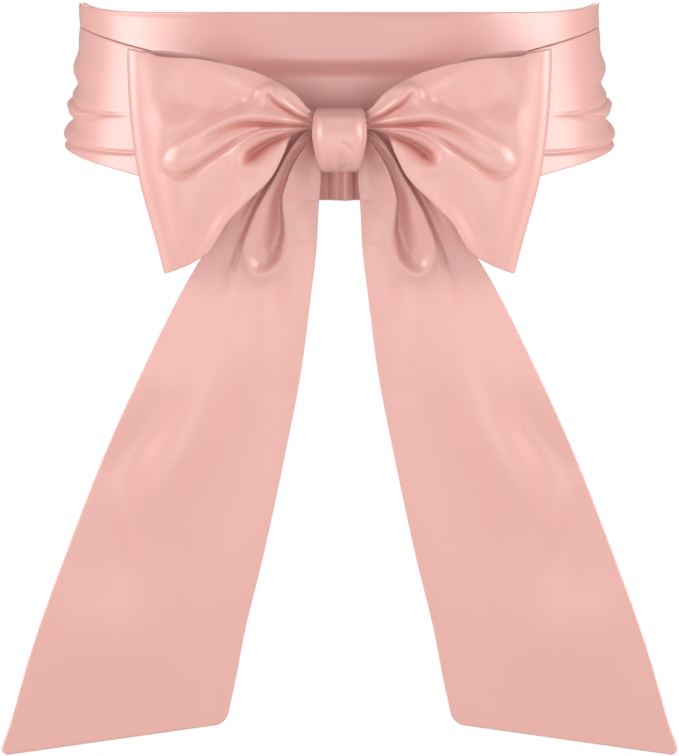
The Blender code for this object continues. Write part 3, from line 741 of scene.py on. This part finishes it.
def loop_form(side):
    """Front view: a point is top + v (bottom - top), bowed out by 4 v (1 - v) near the outer fold.
    Depth: the middle plus or minus half the gap, less the strokes' relief."""
    v = edge_spaced(LOOP_CROSS_ROWS, BOW_WIDTH)[None, :]
    nose = LOOP_NOSE / LOOP_LENGTH
    front = np.linspace(0, 1, LOOP_FRONT_ROWS) ** LOOP_ROW_POWER * (1 - nose)
    back = np.linspace(0, 1, LOOP_BACK_ROWS) ** LOOP_ROW_POWER * (1 - nose)
    turn = np.linspace(0, np.pi, LOOP_NOSE_ROWS + 1)
    share = np.concatenate([front[:-1], 1 - nose + nose * np.sin(turn), back[:-1][::-1]])
    facing = np.concatenate([np.ones(len(front) - 1), np.cos(turn), -np.ones(len(back) - 1)])[:, None]
    section = smooth_table(LOOP_SECTIONS, share)[:, None]
    share = share[:, None]
    top, low, middle, gap = section[..., 0:2], section[..., 2:4], section[..., 4], section[..., 5]
    chord = low - top
    outward = unit(np.concatenate([-chord[..., 1:2], chord[..., 0:1]], axis=-1))
    kept = 1 - LOWER_BOW_LOST * smooth_step(LOWER_BOW_FROM, LOWER_BOW_FULL, v)
    bow = OUTER_EDGE_BOW * share ** 2 * 4 * v * (1 - v) * kept
    flat = top + chord * v[..., None] + outward * bow[..., None]
    reach, height = flat[..., 0], flat[..., 1]
    height = height + BACK_LAYER_RISE * hill(BACK_RISE_AT, share) * (facing < 0) * (1 - v) ** 4
    height = height - FRONT_LAYER_DIP * hill(FRONT_DIP_AT, share) * (facing > 0) * (1 - v) ** 8
    relief = (fold_relief(LOOP_FOLDS, reach, height) * np.clip(facing, 0, 1)
              - fold_relief(LOOP_BACK_FOLDS, reach, height) * np.clip(-facing, 0, 1))
    relief = relief * hill(LOOP_CREASES_AT, share)
    belly = 1 - LOOP_END_DEPTH * np.abs(2 * v - 1) ** 6
    plain_depth = middle - gap * facing * belly
    surface = np.stack([side * reach, plain_depth - relief, height], axis=-1)
    plain = np.stack([side * reach, plain_depth, height], axis=-1)
    thick = side_thick(v, BOW_WIDTH) + 0 * reach
    # painted shade in the front layer's creases, from the crease depth
    shown = (facing > 0) * smooth_step(LOOP_SHADE_FROM, LOOP_SHADE_FULL, share)
    return surface, plain, thick, below_around(relief, LOOP_AROUND) * shown


for word, side in (("left", -1), ("right", 1)):
    loop = cloth_shell("bow_loop_" + word, *loop_form(side), flip=side > 0)
    dress(loop, "loop_" + word, (0.105, 0.205))

# %% [markdown]
# ## The tails
# Each tail leaves the knot gathered, opens out below the loop and hangs straight to a slanted hem.
# Under the knot its inner part lies forward over the rest, with a lip and a deep hollow beside it.

# %% Tail sections and strokes
# share, inner reach, inner height, outer reach, outer height, depth
TAIL_SECTIONS = (
    (0.00, 4.0, -28.0, 4.5, -15.5, -109.5),
    (0.05, 8.6, -30.5, 15.5, -14.2, -108.8),
    (0.10, 8.8, -39.5, 27.0, -18.5, -106.8),
    (0.17, 9.9, -52.0, 43.0, -36.0, -105.0),
    (0.26, 10.8, -70.0, 57.0, -62.0, -104.0),
    (0.36, 13.4, -92.5, 74.0, -90.4, -103.5),
    (0.50, 18.2, -129.7, 92.8, -127.8, -103.0),
    (0.64, 26.6, -173.2, 111.6, -168.8, -102.0),
    (0.78, 36.3, -218.5, 130.7, -217.3, -101.0),
    (0.90, 46.0, -258.8, 147.8, -264.5, -100.0),
    (1.00, 53.4, -301.2, 163.0, -317.0, -99.0),
)

# Rows as for a loop. On a stroke that runs down, the first half width is on the outer side.
TAIL_FOLDS = (
    # the lip of the inner part: steep on its outer side, gentle on its inner side
    ((12.2, -16.8, 0.8, 2.4, 3.4), (15.0, -21.9, 0.8, 3.6, 5.4), (18.8, -27.3, 0.8, 5, 6.0),
     (22.0, -32.7, 0.8, 7, 6.0), (24.6, -39.1, 0.8, 9, 5.6), (26.7, -45, 0.8, 10, 5.0),
     (27.2, -49, 0.8, 11, 4.4), (26.7, -54.1, 0.9, 11, 4.2), (26.1, -60, 1.1, 11, 3.8),
     (26.0, -65, 1.6, 11, 3.2), (26.4, -70, 2.6, 10, 2.4), (25.4, -78, 4.5, 10, 1.2),
     (23, -90, 6, 9, 0.3)),
    # the hollow beside the lip
    ((25.2, -39.0, 1.4, 0.6, -0.4), (27.4, -45.0, 2.6, 0.6, -1.8), (28.0, -51, 4.0, 0.6, -3.0),
     (27.6, -57, 5.4, 0.6, -3.6), (27.4, -63.5, 6.6, 0.9, -3.6), (29.2, -69.5, 6.6, 1.6, -3.2),
     (32.0, -74.5, 5.4, 2.6, -2.0), (34.4, -77.0, 3.8, 3.0, -0.6)),
    # the inner part comes forward below the knot, so that its top faces up
    ((13, -46, 9, 9, 0.4), (15, -60, 10, 10, 2.6), (16, -76, 11, 11, 3.8), (18, -95, 12, 12, 3.4),
     (20, -118, 13, 13, 1.8), (23, -142, 14, 14, 0.3)),
    # the bright rim under the hollow
    ((23.9, -70.2, 2.4, 2.4, 0.4), (28.2, -78.2, 2.6, 2.8, 1.8), (32.7, -82.2, 2.8, 3.2, 2.4),
     (37.2, -83.8, 3.0, 3.6, 2.6), (41.4, -81.4, 3.0, 3.4, 2.2), (43.6, -75, 2.8, 2.8, 1.0),
     (44.4, -68, 2.4, 2.4, 0.2)),
    # the middle ridge: steep on its outer side, gentle towards the hollow
    ((13.2, -14.6, 1.0, 2.4, 3.6), (16.6, -17.2, 1.0, 3.2, 5.6), (20.0, -20.6, 1.0, 4.0, 6.4),
     (23.4, -25.0, 1.0, 5.0, 6.4), (26.4, -30.0, 1.0, 6.0, 6.2), (30.2, -37.6, 1.0, 7.0, 5.8),
     (33.4, -42.8, 1.0, 7.6, 5.4), (39.2, -53.4, 1.1, 8.0, 4.8), (42.8, -62.3, 1.3, 8.0, 4.2),
     (45.7, -70.4, 1.7, 8.0, 3.2), (47.6, -77.6, 2.2, 8, 2.3), (49.6, -87, 3.0, 8, 1.3),
     (52, -100, 5, 8, 0.3)),
    # the recess between the middle ridge and the loop
    ((29, -27, 3.0, 0.8, 0.4), (35, -36, 5.0, 1.2, 1.6), (43, -47, 7.0, 2.0, 2.4),
     (50, -57, 9.0, 3.0, 1.6), (55, -66, 10, 4.0, 0.4), (57, -76, 10, 4.0, -0.6),
     (60, -87, 10, 5, -0.8), (63, -98, 9, 6, -0.2)),
    # a small fold along the ridge, at the knot
    ((12.6, -15.6, 0.5, 0.5, -0.8), (15.6, -17.0, 0.6, 0.8, -2.0), (18.4, -19.4, 0.8, 1.1, -1.8),
     (21.4, -22.8, 1.0, 1.2, -0.5)),
    # the ripple down the tail, and the short hollow on its outer side
    ((46, -92, 13, 11, 0.4), (50, -104, 14, 12, 1.6), (54.8, -115.5, 15, 13, 2.6),
     (61.4, -136.8, 16, 13, 3.4), (69.1, -158, 15, 12, 3.8), (79.6, -176, 13, 11, 3.8),
     (89, -190, 12, 11, 2.8), (97, -198, 10, 10, 0.8)),
    ((78, -139.5, 9, 9, -0.3), (87.3, -152, 10, 9, -1.5), (97.3, -165, 10, 9, -2.1),
     (106, -176, 10, 9, -1.6), (112, -186, 9, 9, -0.4)),
    # the wide wave near the hem
    ((121, -259, 18, 24, 2.4), (106, -262, 18, 24, 2.6)),
    ((113, -192, 5, 5, -0.2), (109, -206, 6, 6, -0.8), (104.5, -221, 6.5, 6.5, -0.9),
     (100, -236, 7, 7, -0.2)),
    ((40, -140, 10, 10, -0.4), (48, -170, 14, 14, -1.2), (60, -210, 16, 16, -1.4),
     (72, -250, 16, 16, -0.5)),
)

TAIL_ROWS = 300
TAIL_CROSS_ROWS = 116
TAIL_ROW_POWER = 1.15       # above 1: the rows stand closer near the knot
TAIL_LENGTH = 300.0
CORNER_FADE = 3.0           # corner radii over which a corner's lift fades out
LEAST_STEP = 0.001          # share of the length between the last row and the hem's rim
TAIL_CREASES_FULL = 0.06    # share of the length where the creases are at full height
TAIL_PAINTED_SHADE = 0.6             # share of the crease depth painted as shade: the tails' creases are wide, so less of their depth is shown
TAIL_AROUND = (8, 9)


def tail_form(side):
    """Front view: inner + v (outer - inner) in each section. The hem's corners are rounded by
    lifting the last rows by r - sqrt(r^2 - d^2). Depth: the section's less the relief."""
    along = np.linspace(0, 1, TAIL_ROWS) ** TAIL_ROW_POWER
    rim = 1 - np.array(EDGE_ROWS[:-1])[::-1] * EDGE_ROUND / TAIL_LENGTH
    along = np.concatenate([along[along < rim[0] - LEAST_STEP], rim])
    v = edge_spaced(TAIL_CROSS_ROWS, BOW_WIDTH)[None, :]
    section = smooth_table(TAIL_SECTIONS, along)[:, None]
    reach = section[..., 0] + (section[..., 2] - section[..., 0]) * v
    height = section[..., 1] + (section[..., 3] - section[..., 1]) * v
    depth = section[..., 4] + 0 * reach
    along = along[:, None]
    from_hem = (1 - along) * TAIL_LENGTH
    for corner, far in ((TAIL_INNER_CORNER, v * HEM_WIDTH), (TAIL_OUTER_CORNER, (1 - v) * HEM_WIDTH)):
        inside = np.clip(1 - far / corner, 0, 1)
        lift = corner * (1 - np.sqrt(1 - inside ** 2))
        height = height + lift * (1 - smooth_step(0, CORNER_FADE * corner, from_hem))
    relief = fold_relief(TAIL_FOLDS, reach, height) * smooth_step(0, TAIL_CREASES_FULL, along)
    surface = np.stack([side * reach, depth - relief, height], axis=-1)
    plain = np.stack([side * reach, depth, height], axis=-1)
    thick = np.minimum(side_thick(v, BOW_WIDTH), rim_thick(from_hem))
    # the last array is the crease depth that the satin paints as shade
    return surface, plain, thick, TAIL_PAINTED_SHADE * below_around(relief, TAIL_AROUND)


for word, side in (("left", -1), ("right", 1)):
    tail = cloth_shell("sash_tail_" + word, *tail_form(side), flip=side > 0)
    dress(tail, "tail_" + word, (0.105, 0.31))

# %% [markdown]
# ## The knot
# The knot is one short wrap of the strip over the middle of the bow. It comes from the band behind
# it, goes over the front and back underneath. Its long edges turn back onto the loops.

# %% Knot form
# share, depth, height, half width
KNOT_PATH = (
    (0.00, -88.7, -8.0, 9.4),
    (0.12, -103.0, -6.4, 10.0),
    (0.25, -112.0, -5.4, 10.6),
    (0.38, -122.0, -6.2, 11.2),
    (0.48, -128.3, -10.0, 12.2),
    (0.60, -130.0, -17.0, 12.6),
    (0.72, -128.8, -24.6, 11.4),
    (0.82, -124.0, -30.8, 9.6),
    (0.91, -115.0, -33.8, 8.6),
    (1.00, -94.6, -35.2, 8.0),
)
KNOT_SIDE_CURL = 5.6
KNOT_CURL_POWER = 4.0
KNOT_ROWS = 150
KNOT_CROSS_ROWS = 90

# Creases in the knot, drawn on its front view: reach to the right, height, half widths, out
KNOT_FOLDS = (
    # the curved crease, the shaded dent below it and the pinch at the lower edge
    ((0.6, -19.6, 0.8, 1.0, -0.1), (2.2, -20.6, 0.8, 1.4, -0.5), (4.4, -22.0, 0.8, 1.6, -0.7),
     (5.6, -24.0, 0.9, 1.6, -0.6), (5.8, -26.4, 1.0, 1.4, -0.1)),
    ((2.6, -24.0, 2.4, 2.4, -0.3), (1.2, -27.0, 2.8, 2.8, -1.1), (0.4, -30.4, 2.6, 2.6, -1.1)),
    ((5.0, -29.8, 0.8, 0.8, -0.2), (2.6, -31.0, 0.9, 1.0, -0.9), (0.4, -32.6, 0.9, 1.0, -1.2),
     (-1.4, -34.0, 1.0, 1.0, -2.0)),
    ((-8.0, -12.0, 2.4, 2.4, 0.1), (-7.0, -19.0, 2.8, 2.8, 0.5), (-5.0, -28.0, 2.4, 2.4, 0.4)),
)
KNOT_HEM_INSIDE = 0.88      # share of the half width where the stitched edge ends
KNOT_HEM_HALF_WIDTH = 0.045
KNOT_HEM_DEPTH = 0.35
KNOT_WIDTH = 25.0
KNOT_COLUMN_POWER = 0.85    # below 1: the columns stand closer towards the edges
CURL_FROM, CURL_FULL = 118, 129    # millimetres in front of the waist's centre
RELIEF_FROM, RELIEF_FULL = 112, 124
KNOT_AROUND = (6, 6)


def knot_form():
    """Depth and height follow the path's table along the wrap. Across it, x is the half width times
    the share, and the depth moves back by curl * |share|^power on the front stretch."""
    along = np.linspace(0, 1, KNOT_ROWS)
    share = edge_spaced(KNOT_CROSS_ROWS, KNOT_WIDTH)[None, :]
    across = share * 2 - 1
    path = smooth_table(KNOT_PATH, along)[:, None]
    depth, height, half = path[..., 0], path[..., 1], path[..., 2]
    turned = np.sign(across) * np.abs(across) ** KNOT_COLUMN_POWER
    forward = smooth_step(CURL_FROM, CURL_FULL, -depth)
    plain_depth = depth + KNOT_SIDE_CURL * np.abs(turned) ** KNOT_CURL_POWER * forward
    x = half * turned
    z = height + 0 * x
    from_hem = (np.abs(turned) - KNOT_HEM_INSIDE) / KNOT_HEM_HALF_WIDTH
    hem = KNOT_HEM_DEPTH * np.exp(-(from_hem ** 2))
    relief = (fold_relief(KNOT_FOLDS, x, z) - hem) * smooth_step(RELIEF_FROM, RELIEF_FULL, -depth)
    surface = np.stack([x, plain_depth - relief, z], axis=-1)
    plain = np.stack([x, plain_depth, z], axis=-1)
    thick = side_thick(share, KNOT_WIDTH) + 0 * x
    # the last array is the crease depth that the satin paints as shade
    return surface, plain, thick, below_around(relief, KNOT_AROUND)


knot = cloth_shell("sash_knot", *knot_form())
dress(knot, "knot", (0.026, 0.085))

# %% [markdown]
# ## Floor and room
# The ground and the room light the cloth softly, but the camera sees both as plain white.

# %% Ground and surroundings
WHITE = (1.0, 1.0, 1.0, 1.0)
FLOOR_HEIGHT = -0.42
FLOOR_HALF = 6.0
FLOOR_COLOUR = (0.8, 0.8, 0.8, 1.0)
FLOOR_ROUGHNESS = 0.9
ROOM_LIGHT = 0.23           # how brightly the room lights the cloth


def white_to_camera(tree, lit, white, surface):
    """Mix Shader: what the lights see is lit, and what the camera sees directly is plain white."""
    seen = Wire.node(tree, "ShaderNodeLightPath", output="Is Camera Ray")
    both = Wire.node(tree, "ShaderNodeMixShader", inputs={0: seen, 1: Wire(tree, lit), 2: white})
    tree.links.new(both.socket, surface)


def floor_material():
    material = bpy.data.materials.new("floor_white")
    material.use_nodes = True
    tree = material.node_tree
    shader = tree.nodes["Principled BSDF"]
    shader.inputs["Base Color"].default_value = FLOOR_COLOUR
    shader.inputs["Roughness"].default_value = FLOOR_ROUGHNESS
    glow = Wire.node(tree, "ShaderNodeEmission", inputs={"Color": WHITE, "Strength": 1.0})
    surface = tree.nodes["Material Output"].inputs["Surface"]
    white_to_camera(tree, shader.outputs[0], glow, surface)
    return material


def ground():
    """One square, wide enough that its edges stay out of sight."""
    corners = [(x * FLOOR_HALF, y * FLOOR_HALF, FLOOR_HEIGHT)
               for x, y in ((-1, -1), (1, -1), (1, 1), (-1, 1))]
    mesh = bpy.data.meshes.new("floor")
    mesh.from_pydata(corners, [], [(0, 1, 2, 3)])
    mesh.materials.append(floor_material())
    floor = bpy.data.objects.new("floor", mesh)
    scene.collection.objects.link(floor)


def room():
    world = bpy.data.worlds.new("studio")
    world.use_nodes = True
    tree = world.node_tree
    walls = tree.nodes["Background"]
    walls.inputs["Color"].default_value = WHITE
    walls.inputs["Strength"].default_value = ROOM_LIGHT
    backdrop = Wire.node(tree, "ShaderNodeBackground", inputs={"Color": WHITE, "Strength": 1.0})
    surface = tree.nodes["World Output"].inputs["Surface"]
    white_to_camera(tree, walls.outputs[0], backdrop, surface)
    scene.world = world


ground()
room()

# %% [markdown]
# ## Lights
# Pairs of square lights stand at the left and right: one pair in front, a little below the bow, one
# halfway round and one far out to the sides. A weak light from above and one from behind fill in.
# Satin mirrors them softly, so the folds get bright flanks, and nothing has a hard shadow. The
# hollows' deep pink comes partly from them and partly from the painted crease shade.

# %% Lights
CENTRE = (0.0, -0.1, -0.05)  # the middle of the bow


def soft_light(name, place, size, watts):
    """A square area light at place, turned to face the middle of the bow."""
    lamp = bpy.data.lights.new(name, "AREA")
    lamp.shape = "SQUARE"
    lamp.size = size
    lamp.energy = watts
    obj = bpy.data.objects.new(name, lamp)
    scene.collection.objects.link(obj)
    obj.location = place
    away = np.array(place) - np.array(CENTRE)
    flat = math.hypot(away[0], away[1])
    obj.rotation_euler = (math.atan2(flat, away[2]), 0, math.atan2(away[0], -away[1]))
    print(f"{name}: {watts} W, {np.linalg.norm(away):.2f} m away")


# name, place for the right-hand side, size in metres, watts
LIGHT_PAIRS = (
    ("front", (0.20, -0.78, -0.10), 0.3, 0.74),
    ("key", (1.10, -0.65, 0.25), 0.6, 6.2),
    ("side", (2.50, -0.30, 0.10), 1.0, 19.0),
)
for word, (x, y, z), size, watts in LIGHT_PAIRS:
    soft_light(word + "_light_left", (-x, y, z), size, watts)
    soft_light(word + "_light_right", (x, y, z), size, watts)
soft_light("high_light", (0.0, -0.8, 0.62), 0.4, 0.7)
soft_light("back_light", (0.0, 2.6, 0.8), 1.2, 26.0)

# %% [markdown]
# ## Camera
# The camera stands level with the front top edge, because that edge looks straight and hides the
# inside of the band.

# %% Camera
CAMERA_AWAY = 1.8           # metres in front of the waist's centre
CAMERA_HEIGHT = 0.040       # level with the band's front top edge
PITCH_DOWN = 5.834          # degrees
LENS = 170.57               # millimetres
SENSOR = 36.0               # millimetres, long side
SEEN_TO = 50.0              # metres

camera = bpy.data.cameras.new("camera")
camera.lens = LENS
camera.sensor_width = SENSOR
camera.clip_end = SEEN_TO
camera_object = bpy.data.objects.new("camera", camera)
scene.collection.objects.link(camera_object)
camera_object.location = (0, -CAMERA_AWAY, CAMERA_HEIGHT)
camera_object.rotation_euler = (math.radians(90 - PITCH_DOWN), 0, 0)
scene.camera = camera_object
print("camera", CAMERA_AWAY, "m in front, lens", LENS, "mm")
